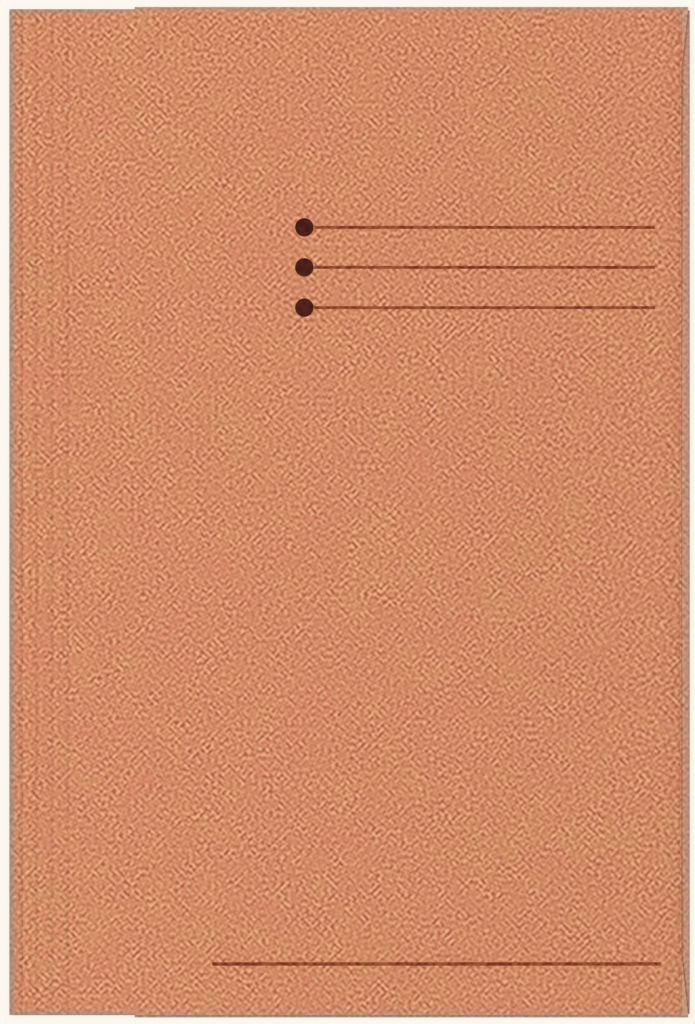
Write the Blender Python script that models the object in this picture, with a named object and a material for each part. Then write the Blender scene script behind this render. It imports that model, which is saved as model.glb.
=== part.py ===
"""A closed three-flap file folder of pressed manila card, lying on its back.

The real folder is one die-cut sheet, 0.4 mm thick, that only bends at its pressed creases. Each
panel between two creases is a solid of its own here, so that every crease can turn. The spine has
four creases on each cover, which let it open out for a thicker stack of papers. One flap folds in
from the fore-edge, and one from each end lies over it.

Metres, +Z up, +Y up the front cover. The origin is at the middle of the folder's underside, with
the spine at -X and the fore-edge at +X.
"""

import math

import bmesh
import bpy
from mathutils import Matrix, Vector

# Outer size of the closed folder, over its folds
WIDTH = 0.235
HEIGHT = 0.349

# The card, and the air between two layers or at a crease
BOARD = 0.0004
CLEARANCE = 0.0003

# The crease next to the fold has more room, because its two sides part a little as the spine opens
FIRST_CREASE_CLEARANCE = 0.0006

# Creases of the spine, counted from the fold at the spine's edge
CREASE_COUNT = 4
FIRST_CREASE = 0.0045
CREASE_PITCH = 0.0054
CREASE_WIDTH = 0.0024
CREASE_DEPTH = 0.0002

# The front cover stops short of the fold that the flap makes at the fore-edge
COVER_SETBACK = 0.0029

# Flap at the fore-edge: its sides step in at a shoulder near the fold, and then draw in towards the
# free edge
SIDE_FLAP_DEPTH = 0.095
SIDE_FLAP_SHOULDER_OUT = 0.007
SIDE_FLAP_SHOULDER_IN = 0.0248
SIDE_FLAP_TAPER = 0.067

# Flaps at the two ends: where their folds start, and how their sides draw in
END_FLAP_FROM_SPINE = 0.0433
END_FLAP_DEPTH = 0.072
END_FLAP_SPINE_TAPER = 0.034
END_FLAP_FORE_TAPER = 0.008

# Round corners at the free edge of each flap
FLAP_CORNER = 0.010

# How far a rolled lip overlaps the flat panel that it is joined to
LIP_ROOT = 0.002

# How finely the curves are drawn
ROLL_STEPS = 6
CREASE_STEPS = 4
CORNER_STEPS = 8

# Card colours as sRGB: the outside is as photographed, and the inner layers are a little paler
OUTSIDE_COLOUR = "D28B67"
FLAP_COLOUR = "D89873"
CARD_ROUGHNESS = 0.85

# Heights of the layers, as the underside of each
BACK_LAYER = 0.0
SIDE_FLAP_LAYER = BACK_LAYER + BOARD + CLEARANCE
END_FLAP_LAYER = SIDE_FLAP_LAYER + BOARD + CLEARANCE
FRONT_LAYER = END_FLAP_LAYER + BOARD + CLEARANCE
THICKNESS = FRONT_LAYER + BOARD

# Outer radius of the roll at each fold, which is half of the layers that it goes round
SPINE_ROLL = THICKNESS / 2
SIDE_ROLL = (SIDE_FLAP_LAYER + BOARD) / 2
END_ROLL = (END_FLAP_LAYER + BOARD) / 2

SPINE_EDGE = -WIDTH / 2
FORE_EDGE = WIDTH / 2
END_EDGE = HEIGHT / 2

# The cut ends of the covers, level with the start of the end flaps' rolls
CUT_LENGTH = 2 * (END_EDGE - END_ROLL)

# At a corner the side flap's fold stops short of the end flap's roll, and that one where the side
# flap's roll starts
SIDE_FOLD_LENGTH = CUT_LENGTH - 2 * CLEARANCE
END_FOLD_START = SPINE_EDGE + END_FLAP_FROM_SPINE
END_FOLD_STOP = FORE_EDGE - SIDE_ROLL

# Directions in which an outline is drawn: (its first axis, its second axis, the axis it is extruded along)
ACROSS = Matrix(((1, 0, 0), (0, 0, -1), (0, 1, 0))).to_4x4()
LENGTHWAYS = Matrix(((0, 0, 1), (1, 0, 0), (0, 1, 0))).to_4x4()
FLAT = Matrix.Identity(4)


def clear_scene():
    """Removes whatever the scene holds."""
    for old in list(bpy.data.objects):
        bpy.data.objects.remove(old, do_unlink=True)


def new_collection(name):
    """A collection of that name, linked to the scene."""
    collection = bpy.data.collections.new(name)
    bpy.context.scene.collection.children.link(collection)
    return collection


def crease_line(number):
    """How far a spine crease lies across the folder, where number 1 is the one nearest the fold."""
    return SPINE_EDGE + FIRST_CREASE + (number - 1) * CREASE_PITCH


def arc(centre, radius, start, end, steps):
    """Points on an arc, both ends included, with the angles in radians."""
    points = []
    for step in range(steps + 1):
        angle = start + (end - start) * step / steps
        points.append((centre[0] + radius * math.cos(angle), centre[1] + radius * math.sin(angle)))
    return points


def cut_edge(place):
    """The square edge of a panel, from its outer face to its inner face."""
    return [(place, 0.0), (place, BOARD)]


def crease_edge(number, side):
    """The pressed edge of a panel that ends at a spine crease, from its outer face to its inner face.

    side is 1 where the crease is at the panel's +X side and -1 where it is at its -X side. The outer
    face dips into the crease's groove, and the inner face rises by as much in its bead.
    """
    line = crease_line(number)
    clearance = FIRST_CREASE_CLEARANCE if number == 1 else CLEARANCE
    outer = []
    inner = []
    for step in range(CREASE_STEPS + 1):
        share = step / CREASE_STEPS
        reach = (CREASE_WIDTH + (clearance - CREASE_WIDTH) * share) / 2
        dip = CREASE_DEPTH * (1 - math.cos(math.pi * share)) / 2
        outer.append((line - side * reach, dip))
        inner.append((line - side * reach, BOARD + dip))
    return outer + inner[::-1]


def rolled_edge(place, roll, side):
    """The lip of a panel that ends in half of a fold, from its outer face to its inner face.

    place is the outermost point of the fold and roll its outer radius. The lip stops just short of
    the fold's middle height, where the other panel's lip begins.
    """
    centre = (place - side * roll, roll)
    stop = -math.asin(CLEARANCE / 2 / roll)
    outer = arc((0.0, roll), roll, -math.pi / 2, stop, ROLL_STEPS)
    inner_roll = roll - BOARD
    if inner_roll > CLEARANCE / 2 * 1.001:
        stop = -math.asin(CLEARANCE / 2 / inner_roll)
        inner = arc((0.0, roll), inner_roll, -math.pi / 2, stop, ROLL_STEPS)
    else:
        inner = [(0.0, BOARD)]
    return [(centre[0] + side * u, v) for u, v in outer + inner[::-1]]


def section(low_edge, high_edge):
    """The closed section of a panel between its edge at the low side and its edge at the high side."""
    return high_edge + low_edge[::-1]


def turned_over(points, height):
    """A section turned over about the middle of the layers, which are that high in all."""
    return [(u, height - v) for u, v in points]


def rounded(corners):
    """A closed outline from corners given as (x, y, radius), with an arc at each that has a radius."""
    outline = []
    for index, (x, y, radius) in enumerate(corners):
        here = Vector((x, y))
        if radius == 0:
            outline.append((x, y))
            continue
        before = (Vector(corners[index - 1][:2]) - here).normalized()
        after = (Vector(corners[(index + 1) % len(corners)][:2]) - here).normalized()
        half = before.angle(after) / 2
        centre = here + (before + after).normalized() * radius / math.sin(half)
        first = here + before * radius / math.tan(half) - centre
        turn = first.angle_signed(here + after * radius / math.tan(half) - centre)
        start = math.atan2(first.y, first.x)
        outline += arc(centre, radius, start, start - turn, CORNER_STEPS)
    return outline


def extruded(name, points, frame, middle, length):
    """A mesh object made from a closed outline that is extruded by a length about a middle point."""
    curve = bpy.data.curves.new(name, "CURVE")
    curve.dimensions = "2D"
    curve.fill_mode = "BOTH"
    curve.extrude = length / 2
    spline = curve.splines.new("POLY")
    spline.points.add(len(points) - 1)
    for point, (u, v) in zip(spline.points, points):
        point.co = (u, v, 0.0, 1.0)
    spline.use_cyclic_u = True
    outline = bpy.data.objects.new(name + "_outline", curve)
    bpy.context.scene.collection.objects.link(outline)
    outline.matrix_world = Matrix.Translation(middle) @ frame
    bpy.context.view_layer.update()

    evaluated = outline.evaluated_get(bpy.context.evaluated_depsgraph_get())
    mesh = bpy.data.meshes.new_from_object(evaluated)
    mesh.name = name
    mesh.materials.clear()
    body = bmesh.new()
    body.from_mesh(mesh)
    bmesh.ops.remove_doubles(body, verts=body.verts, dist=0.00001)
    bmesh.ops.recalc_face_normals(body, faces=body.faces)
    body.to_mesh(mesh)
    body.free()
    made = bpy.data.objects.new(name, mesh)
    made.matrix_world = outline.matrix_world.copy()
    bpy.data.objects.remove(outline, do_unlink=True)
    return made


def cutter(made, collection):
    """Marks an object as a helper of a Boolean, which is no part of the folder."""
    made.hide_render = True
    made.display_type = "WIRE"
    collection.objects.link(made)
    return made


def combine(target, other, operation):
    """Adds an exact Boolean to an object."""
    modifier = target.modifiers.new(other.name, "BOOLEAN")
    modifier.operation = operation
    modifier.solver = "EXACT"
    modifier.object = other


def card(name, colour):
    """Pressed manila card: matt, and never metallic."""
    material = bpy.data.materials.new(name + "_card")
    material.use_nodes = True
    shader = material.node_tree.nodes["Principled BSDF"]
    channels = [int(colour[at : at + 2], 16) / 255 for at in (0, 2, 4)]
    linear = [((c + 0.055) / 1.055) ** 2.4 if c > 0.04045 else c / 12.92 for c in channels]
    shader.inputs["Base Color"].default_value = (*linear, 1.0)
    shader.inputs["Roughness"].default_value = CARD_ROUGHNESS
    shader.inputs["Metallic"].default_value = 0.0
    material.diffuse_color = (*linear, 1.0)
    return material


def finish(made, collection, colour, pivot, parent=None):
    """Puts a piece in its collection, dressed, with its origin on the line that it folds about."""
    collection.objects.link(made)
    made.data.materials.append(card(made.name, colour))
    shift = Matrix.Translation(-pivot) @ made.matrix_world
    made.data.transform(shift)
    made.matrix_world = Matrix.Identity(4)
    made.location = pivot
    if parent is not None:
        made.parent = parent
        made.location = pivot - pivot_of(parent)
    return made


def pivot_of(made):
    """Where a piece's origin is in the scene."""
    place = made.location.copy()
    while made.parent is not None:
        made = made.parent
        place += made.location
    return place


def crease_pivot(number, front):
    """A point on the line that a spine crease turns about, half way through the card in its groove."""
    depth = BOARD / 2 + CREASE_DEPTH
    return Vector((crease_line(number), 0.0, THICKNESS - depth if front else depth))


def make_back_panel(parts, cutters):
    """The back, from the last crease to the fore-edge, with a rolled lip where each flap folds up."""
    flat_stop = FORE_EDGE - SIDE_ROLL
    points = section(crease_edge(CREASE_COUNT, -1), cut_edge(flat_stop))
    back = extruded("back_panel", points, ACROSS, (0.0, 0.0, BACK_LAYER), CUT_LENGTH)

    side_lip = section(cut_edge(flat_stop - LIP_ROOT), rolled_edge(FORE_EDGE, SIDE_ROLL, 1))
    lips = [extruded("side_lip", side_lip, ACROSS, (0.0, 0.0, BACK_LAYER), SIDE_FOLD_LENGTH)]
    fold_middle = (END_FOLD_START + END_FOLD_STOP) / 2
    fold_length = END_FOLD_STOP - END_FOLD_START
    for name, side in (("top_lip", 1), ("bottom_lip", -1)):
        root = cut_edge(side * (END_EDGE - END_ROLL - LIP_ROOT))
        end_lip = section(root, rolled_edge(side * END_EDGE, END_ROLL, side))
        lips.append(extruded(name, end_lip, LENGTHWAYS, (fold_middle, 0.0, BACK_LAYER), fold_length))
    for lip in lips:
        combine(back, cutter(lip, cutters), "UNION")
    return finish(back, parts, OUTSIDE_COLOUR, Vector((0.0, 0.0, 0.0)))


def spine_section(number):
    """The section of a back spine strip, where strip 1 is the one that the spine's fold rolls round."""
    if number == 1:
        low = rolled_edge(SPINE_EDGE, SPINE_ROLL, -1)
    else:
        low = crease_edge(number - 1, -1)
    return section(low, crease_edge(number, 1))


def make_strip(number, front, parts, pivot, carrier):
    """One strip of the spine, of the front or of the back, which turns about a pivot on its carrier."""
    points = spine_section(number)
    if front:
        points = turned_over(points, THICKNESS)
    name = f"{'front' if front else 'back'}_spine_strip_{number}"
    strip = extruded(name, points, ACROSS, (0.0, 0.0, 0.0), CUT_LENGTH)
    return finish(strip, parts, OUTSIDE_COLOUR, pivot, carrier)


def make_spine_and_cover(parts, back):
    """The strips of the spine and the front cover.

    Strip 1 of the back rises as the spine opens, strip 1 of the front turns about the fold on it, and
    the cover rises by as much again. The other strips hang in a chain from the back and from the cover,
    each turning about its crease, and reach the two strips at the fold.
    """
    edge_strip = make_strip(1, False, parts, crease_pivot(1, False), back)
    fold = Vector((SPINE_EDGE - CLEARANCE / 2, 0.0, SPINE_ROLL))
    front_edge_strip = make_strip(1, True, parts, fold, edge_strip)

    outline = section(crease_edge(CREASE_COUNT, -1), cut_edge(FORE_EDGE - COVER_SETBACK))
    points = turned_over(outline, THICKNESS)
    cover = extruded("front_cover", points, ACROSS, (0.0, 0.0, 0.0), CUT_LENGTH)
    finish(cover, parts, OUTSIDE_COLOUR, crease_pivot(1, True), front_edge_strip)

    for front, carrier in ((False, back), (True, cover)):
        for number in range(CREASE_COUNT, 1, -1):
            carrier = make_strip(number, front, parts, crease_pivot(number, front), carrier)


def make_side_flap(parts, cutters, back):
    """The flap that folds in from the fore-edge, under the two end flaps."""
    free_edge = FORE_EDGE - SIDE_FLAP_DEPTH
    layers = 2 * SIDE_ROLL
    points = turned_over(section(cut_edge(free_edge), rolled_edge(FORE_EDGE, SIDE_ROLL, 1)), layers)
    flap = extruded("side_flap", points, ACROSS, (0.0, 0.0, 0.0), SIDE_FOLD_LENGTH)

    fold_half = SIDE_FOLD_LENGTH / 2
    shoulder_half = fold_half - SIDE_FLAP_SHOULDER_IN
    free_half = shoulder_half - SIDE_FLAP_TAPER
    past_fold = FORE_EDGE + SIDE_ROLL
    plan = rounded(
        [
            (past_fold, fold_half, 0),
            (FORE_EDGE - SIDE_ROLL, fold_half, 0),
            (FORE_EDGE - SIDE_FLAP_SHOULDER_OUT, shoulder_half, 0),
            (free_edge, free_half, FLAP_CORNER),
            (free_edge, -free_half, FLAP_CORNER),
            (FORE_EDGE - SIDE_FLAP_SHOULDER_OUT, -shoulder_half, 0),
            (FORE_EDGE - SIDE_ROLL, -fold_half, 0),
            (past_fold, -fold_half, 0),
        ]
    )
    shape = extruded("side_flap_plan", plan, FLAT, (0.0, 0.0, SIDE_ROLL), 4 * SIDE_ROLL)
    combine(flap, cutter(shape, cutters), "INTERSECT")
    pivot = Vector((FORE_EDGE + CLEARANCE / 2, 0.0, SIDE_ROLL))
    return finish(flap, parts, FLAP_COLOUR, pivot, back)


def make_end_flap(name, side, parts, cutters, back):
    """The flap that folds in from one end, over the side flap. side is 1 at the top and -1 at the bottom."""
    free_edge = side * (END_EDGE - END_FLAP_DEPTH)
    layers = 2 * END_ROLL
    outline = section(cut_edge(free_edge), rolled_edge(side * END_EDGE, END_ROLL, side))
    points = turned_over(outline, layers)
    middle = (END_FOLD_START + END_FOLD_STOP) / 2
    flap = extruded(name, points, LENGTHWAYS, (middle, 0.0, 0.0), END_FOLD_STOP - END_FOLD_START)

    past_fold = side * (END_EDGE + END_ROLL)
    flat_start = side * (END_EDGE - END_ROLL)
    plan = rounded(
        [
            (END_FOLD_START, past_fold, 0),
            (END_FOLD_START, flat_start, 0),
            (END_FOLD_START + END_FLAP_SPINE_TAPER, free_edge, FLAP_CORNER),
            (END_FOLD_STOP - END_FLAP_FORE_TAPER, free_edge, FLAP_CORNER),
            (END_FOLD_STOP, flat_start, 0),
            (END_FOLD_STOP, past_fold, 0),
        ]
    )
    shape = extruded(name + "_plan", plan, FLAT, (0.0, 0.0, END_ROLL), 4 * END_ROLL)
    combine(flap, cutter(shape, cutters), "INTERSECT")
    pivot = Vector((0.0, side * (END_EDGE + CLEARANCE / 2), END_ROLL))
    return finish(flap, parts, FLAP_COLOUR, pivot, back)


def main():
    """Builds the folder."""
    clear_scene()
    parts = new_collection("file_folder")
    cutters = new_collection("cutters")
    back = make_back_panel(parts, cutters)
    make_spine_and_cover(parts, back)
    make_side_flap(parts, cutters, back)
    make_end_flap("top_flap", 1, parts, cutters, back)
    make_end_flap("bottom_flap", -1, parts, cutters, back)


main()
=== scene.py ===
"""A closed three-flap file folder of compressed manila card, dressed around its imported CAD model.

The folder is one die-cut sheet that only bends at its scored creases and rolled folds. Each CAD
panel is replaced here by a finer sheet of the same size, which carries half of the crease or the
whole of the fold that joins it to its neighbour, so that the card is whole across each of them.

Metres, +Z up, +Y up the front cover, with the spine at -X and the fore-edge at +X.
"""

from __future__ import annotations

import logging
import math
from dataclasses import dataclass
from enum import Enum
from typing import Callable, Sequence

import bmesh
import bpy
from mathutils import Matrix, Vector

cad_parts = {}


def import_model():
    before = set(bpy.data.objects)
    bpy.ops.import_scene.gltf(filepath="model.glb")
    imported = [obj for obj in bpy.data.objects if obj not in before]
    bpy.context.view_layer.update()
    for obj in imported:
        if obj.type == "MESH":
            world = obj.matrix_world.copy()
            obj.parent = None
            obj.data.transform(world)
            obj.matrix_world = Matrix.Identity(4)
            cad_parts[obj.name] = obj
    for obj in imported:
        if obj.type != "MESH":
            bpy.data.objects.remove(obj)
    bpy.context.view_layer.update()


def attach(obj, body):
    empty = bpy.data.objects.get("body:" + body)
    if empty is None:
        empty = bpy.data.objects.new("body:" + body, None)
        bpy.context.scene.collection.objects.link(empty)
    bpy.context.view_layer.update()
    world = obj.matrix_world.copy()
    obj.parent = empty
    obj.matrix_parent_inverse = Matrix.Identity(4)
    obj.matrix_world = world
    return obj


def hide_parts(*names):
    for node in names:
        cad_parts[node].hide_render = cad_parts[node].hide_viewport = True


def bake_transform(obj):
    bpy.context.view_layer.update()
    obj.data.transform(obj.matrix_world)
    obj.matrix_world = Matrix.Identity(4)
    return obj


LOG = logging.getLogger("file_folder")

MM = 0.001

# Lengths that differ by less are the same
TOLERANCE = 1e-6

# Two sides of an outline whose directions cross by less run straight on
STRAIGHT = 0.05

# Faces that meet at a smaller angle are shaded as one curved surface
SMOOTH_BELOW = math.radians(20)

# How far inside the back's edge the sheet of a flap takes over
FOLD_SEAM = 0.3 * MM

# Half the width of the slit at crease 1, where the closed chain of strips is opened
CREASE_SLIT = 0.03 * MM

# The widest spacing of the lines across a spine strip
STRIP_GRID = 24.0 * MM

# Names of the marks that a sheet's mesh carries for its finish: painted shade in its folds and creases,
# and the outline's grey, which is painted edge shadow together with handling dirt
FOLD_SHADE = "painted_fold_shade"
EDGE_SHADOW_AND_SOIL = "edge_shadow_and_soil"

# How far in from the folder's outline its painted edge shadow and handling dirt reach
EDGE_SHADOW_AND_SOIL_REACH = 3.0 * MM

# How far in from the spine and the cut ends the painted shade reaches, and how many times as dark as in a
# crease it is there
RIM_REACH = 2.0 * MM
SPINE_RIM = 5.4
END_RIM = 2.4

# How far in from the fore-edge the painted shade on its fold starts
FOLD_RIM = 0.7 * MM

# Settings that several nodes share
SMOOTH = {"interpolation_type": "SMOOTHSTEP"}
MULTIPLY = {"operation": "MULTIPLY"}
MULTIPLY_ADD = {"operation": "MULTIPLY_ADD"}
COLOUR_MIX = {"data_type": "RGBA"}

# Sockets of a colour mix: how much of the second colour, the two colours, and the result
SHARE, UNDER, OVER, MIXED = 0, 6, 7, 2

Flat = tuple[float, float]
Lay = Callable[[float, float, float], Vector]


# ----------------------------------------
# Sizes


def dip(distance: float, width: float) -> float:
    """The share of its depth that a rounded groove has at a distance from its middle."""
    return (1 + math.cos(math.pi * min(1.0, abs(distance) / (width / 2)))) / 2


def smooth_share(value: float, reach: float) -> float:
    """Rises smoothly from 0 to 1 as a value goes from 0 to reach."""
    share = min(1.0, max(0.0, value / reach))
    return share * share * (3 - 2 * share)


def same(value: float, *targets: float) -> bool:
    """Whether a length is one of some others."""
    return any(abs(value - target) < TOLERANCE for target in targets)


@dataclass(frozen=True)
class FolderSizes:
    """The folder's real sizes, in metres, as the CAD source has them."""

    width: float = 235.0 * MM
    height: float = 349.0 * MM
    board: float = 0.4 * MM
    layer_gap: float = 0.3 * MM
    crease_count: int = 4
    first_crease: float = 4.5 * MM
    crease_pitch: float = 5.4 * MM
    crease_width: float = 2.4 * MM
    crease_depth: float = 0.2 * MM
    cover_setback: float = 2.9 * MM
    side_flap_depth: float = 95.0 * MM
    side_flap_shoulder_out: float = 7.0 * MM
    side_flap_shoulder_in: float = 24.8 * MM
    side_flap_taper: float = 67.0 * MM
    end_fold_from_spine: float = 43.3 * MM
    end_flap_depth: float = 72.0 * MM
    end_flap_spine_taper: float = 34.0 * MM
    end_flap_fore_taper: float = 8.0 * MM
    flap_corner: float = 10.0 * MM
    cut_corner: float = 0.8 * MM

    @property
    def layer_step(self) -> float:
        """From the underside of one layer of card to the underside of the next."""
        return self.board + self.layer_gap

    @property
    def thickness(self) -> float:
        """The closed folder: two covers with the side flap and the end flaps between them."""
        return 3 * self.layer_step + self.board

    @property
    def spine_roll(self) -> float:
        """Outer radius of the fold at the spine's edge."""
        return self.thickness / 2

    @property
    def side_roll(self) -> float:
        """Outer radius of the side flap's fold."""
        return (self.layer_step + self.board) / 2

    @property
    def end_roll(self) -> float:
        """Outer radius of an end flap's fold."""
        return (2 * self.layer_step + self.board) / 2

    @property
    def spine_edge(self) -> float:
        """X of the fold at the spine."""
        return -self.width / 2

    @property
    def fore_edge(self) -> float:
        """X of the fold at the fore-edge."""
        return self.width / 2

    @property
    def end_edge(self) -> float:
        """Y of the fold at the top end."""
        return self.height / 2

    @property
    def cut_half(self) -> float:
        """Half of the covers' cut length, which ends where the end flaps' folds start."""
        return self.end_edge - self.end_roll

    @property
    def end_fold_start(self) -> float:
        """X where the end flaps' folds start, at the spine side."""
        return self.spine_edge + self.end_fold_from_spine

    @property
    def end_fold_stop(self) -> float:
        """X where the end flaps' folds stop, and where the side flap's fold starts to roll."""
        return self.fore_edge - self.side_roll

    @property
    def side_fold_half(self) -> float:
        """Half the length of the side flap's fold, which stops just short of the end flaps' rolls."""
        return self.cut_half - self.layer_gap

    def crease_line(self, number: int) -> float:
        """X of a spine crease, where number 1 is the one next to the fold."""
        return self.spine_edge + self.first_crease + (number - 1) * self.crease_pitch

    def groove(self, x: float) -> float:
        """How deep the card sinks into a groove at a place across the spine, 0 between the creases."""
        lines = [self.crease_line(number) for number in range(1, self.crease_count + 1)]
        return self.crease_depth * max(dip(x - line, self.crease_width) for line in lines)


SIZES = FolderSizes()


class Face(Enum):
    """Which way a cover's outer face looks."""

    BACK = "back"
    FRONT = "front"

    def height(self, depth: float) -> float:
        """Z of a point in the cover that lies this deep under its outer face."""
        return depth if self is Face.BACK else SIZES.thickness - depth

    def lay(self, x: float, y: float, depth: float) -> Vector:
        """Puts a point of a flat strip in its place, sunk in at the creases."""
        return Vector((x, y, self.height(depth + SIZES.groove(x))))


# ----------------------------------------
# Finishes


def linear(hex_colour: str) -> tuple[float, float, float, float]:
    """Turns an sRGB colour into the linear one that Blender's sockets take.

    Args:
        hex_colour: Six hex digits.

    Returns:
        Red, green, blue and an alpha of 1.
    """
    shares = [int(hex_colour[at : at + 2], 16) / 255 for at in (0, 2, 4)]
    red, green, blue = (((c + 0.055) / 1.055) ** 2.4 if c > 0.04045 else c / 12.92 for c in shares)
    return red, green, blue, 1.0


def add_node(
    tree: bpy.types.NodeTree,
    kind: str,
    settings: dict[str, object] | None = None,
    inputs: dict[str | int, object] | None = None,
) -> bpy.types.Node:
    """Adds a node to a tree, with its settings, its values and its links.

    Args:
        tree: The node tree.
        kind: The node's Blender type, without ShaderNode before it.
        settings: Properties of the node itself.
        inputs: Values for its sockets, or output sockets to link to them.

    Returns:
        The new node.
    """
    node = tree.nodes.new(f"ShaderNode{kind}")
    for name, value in (settings or {}).items():
        setattr(node, name, value)
    for name, value in (inputs or {}).items():
        if isinstance(value, bpy.types.NodeSocket):
            tree.links.new(value, node.inputs[name])
        else:
            node.inputs[name].default_value = value
    return node


@dataclass(frozen=True)
class Finish:
    """A material that is made once, however many pieces have it."""

    name: str = "finish"

    def shade(self, tree: bpy.types.NodeTree) -> bpy.types.Node:
        """Adds the finish's nodes to its empty tree, and gives the last one."""
        raise NotImplementedError

    def build(self) -> bpy.types.Material:
        """Makes the material, or finds the one that was made before.

        Returns:
            The material.
        """
        if self.name in bpy.data.materials:
            return bpy.data.materials[self.name]
        material = bpy.data.materials.new(self.name)
        material.use_nodes = True
        tree = material.node_tree
        tree.nodes.clear()
        add_node(tree, "OutputMaterial", inputs={"Surface": self.shade(tree).outputs[0]})
        return material


@dataclass(frozen=True)
class Grain:
    """How coarse a noise is, and how much finer noise lies over it."""

    size_mm: float
    detail: float = 0.0
    fineness: float = 0.5

    def at(self, place: bpy.types.NodeSocket) -> dict[str, object]:
        """A noise node's inputs for this grain."""
        scale = 1 / (self.size_mm * MM)
        return {"Vector": place, "Scale": scale, "Detail": self.detail, "Roughness": self.fineness}


@dataclass(frozen=True)
class Relief:
    """How high and how strong a surface's finest relief is."""

    height_mm: float
    strength: float

    def of(self, height: bpy.types.NodeSocket) -> dict[str, object]:
        """A bump node's inputs for this relief."""
        return {"Strength": self.strength, "Distance": self.height_mm * MM, "Height": height}


@dataclass(frozen=True)
class ManilaCard(Finish):
    """Manila card of about 285 g/m2, dyed in the pulp and calendered.

    The rollers leave it matt and almost smooth. What the eye sees is the pulp: dark and pale fibre
    clumps some 2 mm apart, and wide soft clouds where the dye has taken a little differently. The
    clumps stand out more where the pulp lay thicker. Painted shade darkens the creases and folds, most
    of all at the spine's edge, and the folder's outline is greyed by painted edge shadow and handling dirt.
    """

    name: str = "manila_card"
    pulp: str = "D18661"
    rosy_cloud: str = "D98467"
    ochre_cloud: str = "CC8F5B"
    dark_clump: str = "A35A35"
    pale_clump: str = "F3B08D"
    # Grey of the outline: painted edge shadow together with handling dirt
    edge_shadow_and_soil_colour: str = "A0968C"
    # Dark brown of the painted shade in the folds and creases
    fold_shade_colour: str = "5A3424"
    clumps: Grain = Grain(1.26)
    clump_reach_mm: float = 1.22
    contrast: float = 0.44
    thickness: Grain = Grain(5.0)
    thickening: float = 0.55
    clouds: Grain = Grain(9.0, 2.0, 0.6)
    cloud_density: float = 0.1
    cloud_spread: float = 0.22
    cloud_tint: float = 0.49
    wide_clouds: Grain = Grain(45.0, 1.0)
    wide_share: float = 0.5
    fibres: Grain = Grain(0.35, 3.0, 0.6)
    fibre_share: float = 0.5
    fibre_range: Flat = (0.3, 0.7)
    relief: Relief = Relief(0.012, 0.6)
    # How much of the outline's painted edge shadow with handling dirt, and of the painted fold shade, is
    # mixed in
    edge_shadow_and_soiling: float = 0.55
    fold_shading: float = 0.075
    roughness: Flat = (0.8, 0.92)
    gloss: float = 0.3

    def clump_probes(self) -> list[tuple[float, float, float]]:
        """Where the pulp is compared: here first, then at four places evenly around.

        The difference between here and the mean around it leaves out everything wide, so that only
        clumps of one size are seen.

        Returns:
            The offsets, in metres.
        """
        turns = [math.pi * quarter / 2 for quarter in range(4)]
        reach = self.clump_reach_mm * MM
        return [(0.0, 0.0, 0.0)] + [(reach * math.cos(a), reach * math.sin(a), 0.0) for a in turns]

    def shade(self, tree: bpy.types.NodeTree) -> bpy.types.Node:
        """Adds the card's nodes.

        Args:
            tree: The material's empty tree.

        Returns:
            The shader.
        """
        place = add_node(tree, "TexCoord").outputs["Object"]
        clouds, wide, thick, fibres = (
            add_node(tree, "TexNoise", inputs=grain.at(place)).outputs["Fac"]
            for grain in (self.clouds, self.wide_clouds, self.thickness, self.fibres)
        )
        dye = add_node(tree, "Math", MULTIPLY_ADD, {0: wide, 1: self.wide_share, 2: clouds}).outputs[0]
        even = (1 + self.wide_share) / 2
        layers = []
        for way, colour in ((1, self.ochre_cloud), (-1, self.rosy_cloud)):
            limits = {"From Min": even, "From Max": even + way * self.cloud_spread, "To Max": self.cloud_tint}
            layers.append((add_node(tree, "MapRange", SMOOTH, {"Value": dye, **limits}), colour))

        densities = []
        for away in self.clump_probes():
            moved = add_node(tree, "VectorMath", {"operation": "ADD"}, {0: place, 1: away}).outputs[0]
            densities.append(add_node(tree, "TexNoise", inputs=self.clumps.at(moved)).outputs["Fac"])
        here, *around = densities
        weight = -(1 + self.cloud_density) / len(around)
        clumps = add_node(tree, "Math", MULTIPLY_ADD, {0: clouds, 1: self.cloud_density, 2: here})
        for density in around:
            clumps = add_node(tree, "Math", MULTIPLY_ADD, {0: density, 1: weight, 2: clumps.outputs[0]})
        limits = {"To Min": 1 - self.thickening, "To Max": 1 + self.thickening}
        swell = add_node(tree, "MapRange", inputs={"Value": thick, **limits})
        clumps = add_node(tree, "Math", MULTIPLY, {0: clumps.outputs[0], 1: swell.outputs[0]}).outputs[0]
        for reach, colour in ((-self.contrast, self.dark_clump), (self.contrast, self.pale_clump)):
            share = add_node(tree, "MapRange", inputs={"Value": clumps, "From Min": 0.0, "From Max": reach})
            layers.append((share, colour))

        # Two marks darken the pulp: the outline's painted edge shadow with handling dirt, and painted shade
        # in the folds
        for mark, strength, colour in (
            (EDGE_SHADOW_AND_SOIL, self.edge_shadow_and_soiling, self.edge_shadow_and_soil_colour),
            (FOLD_SHADE, self.fold_shading, self.fold_shade_colour),
        ):
            marked = add_node(tree, "Attribute", {"attribute_name": mark}).outputs["Fac"]
            layers.append((add_node(tree, "Math", MULTIPLY, {0: marked, 1: strength}), colour))

        tint = linear(self.pulp)
        for share, colour in layers:
            parts = {SHARE: share.outputs[0], UNDER: tint, OVER: linear(colour)}
            tint = add_node(tree, "Mix", COLOUR_MIX, parts).outputs[MIXED]

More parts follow.
